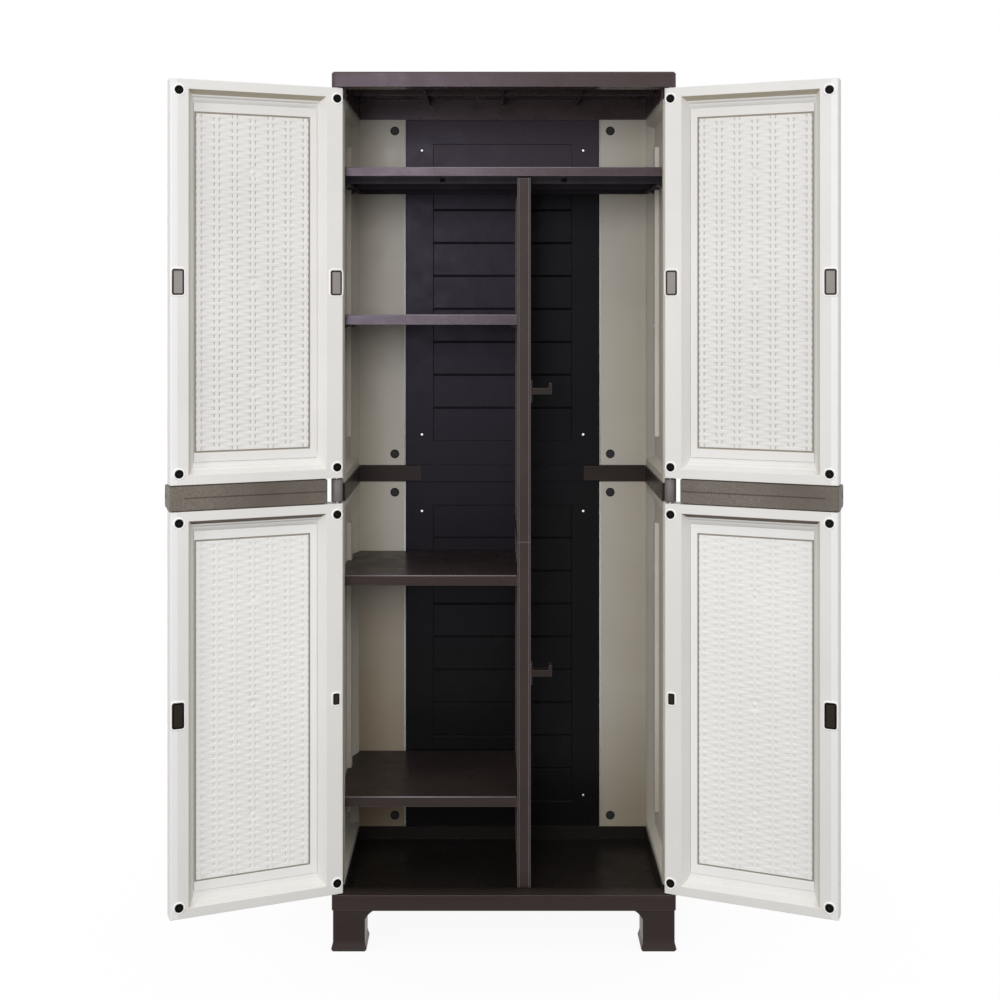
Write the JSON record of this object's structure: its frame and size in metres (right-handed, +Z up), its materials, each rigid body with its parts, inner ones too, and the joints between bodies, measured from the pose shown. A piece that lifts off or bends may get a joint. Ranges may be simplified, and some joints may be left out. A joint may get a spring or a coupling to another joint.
{
  "type": "garden storage cabinet",
  "caption": "Tall two-door plastic utility cabinet with woven-look panels, shelves beside a broom bay and short feet.",
  "frame": {"origin": "floor level, at the middle of the cabinet's footprint as stored, with the doors open as in the picture", "axes": "+Z up, the doors face -Y, +X is to the right seen from the front"},
  "size_m": [1.288, 0.4942, 1.71],
  "materials": {
    "pale_panel": "ivory, fine grain",
    "frame_plastic": "brown, satin grain",
    "back_panel": "dark brown, satin",
    "dark_plug": "black",
    "grey_clip": "grey",
    "dark_clip": "dark brown",
    "hinge_pin": "plain steel"
  },
  "bodies": {
    "cabinet": {"base_tray": "frame_plastic", "lid": "frame_plastic", "foot_front_left": "frame_plastic", "foot_rear_left": "frame_plastic", "foot_front_right": "frame_plastic", "foot_rear_right": "frame_plastic", "side_panel_lower_left": "pale_panel", "side_panel_lower_right": "pale_panel", "side_panel_upper_left": "pale_panel", "side_panel_upper_right": "pale_panel", "back_panel_lower": "back_panel", "back_panel_upper": "back_panel", "belt_left": "frame_plastic", "belt_right": "frame_plastic", "belt_rear": "frame_plastic", "shelf_top": "frame_plastic", "shelf_upper": "frame_plastic", "shelf_middle": "frame_plastic", "shelf_lower": "frame_plastic", "shelf_pegs": "frame_plastic", "divider_lower": "frame_plastic", "divider_upper": "frame_plastic", "broom_hook_upper": "frame_plastic", "broom_hook_lower": "frame_plastic", "wall_panel_plugs": "dark_plug"},
    "left_door": {"left_door_panel_lower": "pale_panel", "left_door_panel_upper": "pale_panel", "left_door_strip": "frame_plastic", "left_door_clips_lower": "dark_clip", "left_door_clips_upper": "grey_clip", "left_door_plugs": "dark_plug", "left_door_hinge_pins": "hinge_pin"},
    "right_door": {"right_door_panel_lower": "pale_panel", "right_door_panel_upper": "pale_panel", "right_door_strip": "frame_plastic", "right_door_clips_lower": "dark_clip", "right_door_clips_upper": "grey_clip", "right_door_plugs": "dark_plug", "right_door_hinge_pins": "hinge_pin"}
  },
  "joints": [
    {"name": "left_door_hinge", "type": "hinge", "parent": "cabinet", "child": "left_door", "pos_m": [-0.3255, -0.11243, 0.89525], "axis": [0, 0, 1], "range_deg": [-22, 158]},
    {"name": "right_door_hinge", "type": "hinge", "parent": "cabinet", "child": "right_door", "pos_m": [0.3255, -0.11243, 0.89525], "axis": [0, 0, -1], "range_deg": [-22, 158]}
  ]
}
